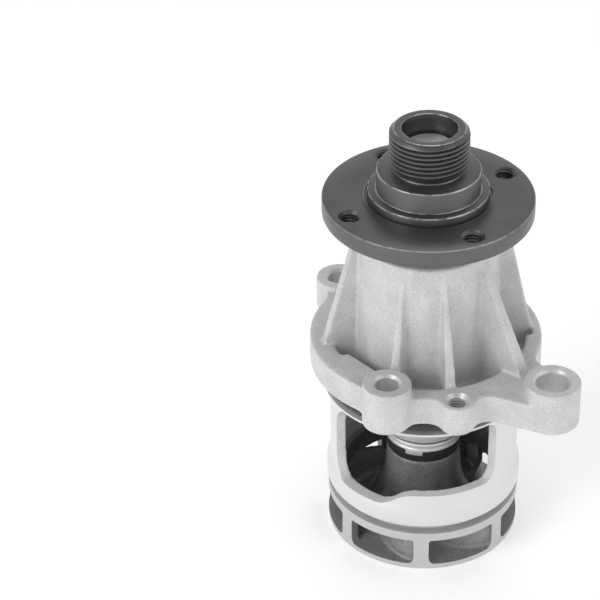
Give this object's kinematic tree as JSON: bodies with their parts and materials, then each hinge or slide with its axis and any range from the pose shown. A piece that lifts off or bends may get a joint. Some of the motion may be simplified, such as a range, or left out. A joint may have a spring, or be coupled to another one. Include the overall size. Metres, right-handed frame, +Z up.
{
  "type": "automotive water pump",
  "caption": "Engine coolant pump with a ribbed snout, mounting plate, inlet cage, closed impeller and a threaded drive hub for a pulley and fan clutch.",
  "frame": {"origin": "on the shaft axis, in the plane of the mounting face", "axes": "+Z up the shaft towards the threaded nose; -Y faces the inlet window"},
  "size_m": [0.0826, 0.0835, 0.1432],
  "materials": {
    "cast_aluminium": "bead-blasted die casting with machined faces",
    "rubber": "smooth moulded",
    "seal_rubber": "matt moulded",
    "bearing_steel": "ground and polished",
    "cage_polymer": "moulded",
    "ground_steel": "ground",
    "black_oxide": "turned and blackened",
    "impeller_metal": "casting with a machined rim",
    "stainless": "drawn sheet",
    "carbon": "lapped carbon",
    "ceramic": "lapped ceramic"
  },
  "bodies": {
    "housing": {"housing": "cast_aluminium", "main_o_ring": "rubber", "bearing_outer_ring": "bearing_steel", "front_bearing_seal": "seal_rubber", "rear_bearing_seal": "seal_rubber", "seal_cup": "stainless", "seal_spring": "stainless", "seal_bellows": "seal_rubber", "seal_carbon_face": "carbon"},
    "rotor": {"bearing_shaft": "ground_steel", "drive_hub": "black_oxide", "impeller": "impeller_metal", "slinger": "seal_rubber", "seal_mating_ring": "ceramic", "seal_seat_boot": "seal_rubber", "seal_band": "stainless"},
    "roller_train": {"front_rollers": "bearing_steel", "roller_cage": "cage_polymer"},
    "ball_train": {"rear_balls": "bearing_steel", "ball_cage": "cage_polymer"}
  },
  "joints": [
    {"name": "rotor_spin", "type": "hinge", "parent": "housing", "child": "rotor", "pos_m": [0, 0, 0], "axis": [0, 0, 1], "continuous": true},
    {"name": "roller_train_spin", "type": "hinge", "parent": "housing", "child": "roller_train", "pos_m": [0, 0, 0.033], "axis": [0, 0, 1], "continuous": true},
    {"name": "ball_train_spin", "type": "hinge", "parent": "housing", "child": "ball_train", "pos_m": [0, 0, 0.014], "axis": [0, 0, 1], "continuous": true}
  ],
  "couplings": [
    {"joint": "roller_train_spin", "follows": "rotor_spin", "ratio": 0.3922},
    {"joint": "ball_train_spin", "follows": "rotor_spin", "ratio": 0.3606}
  ]
}
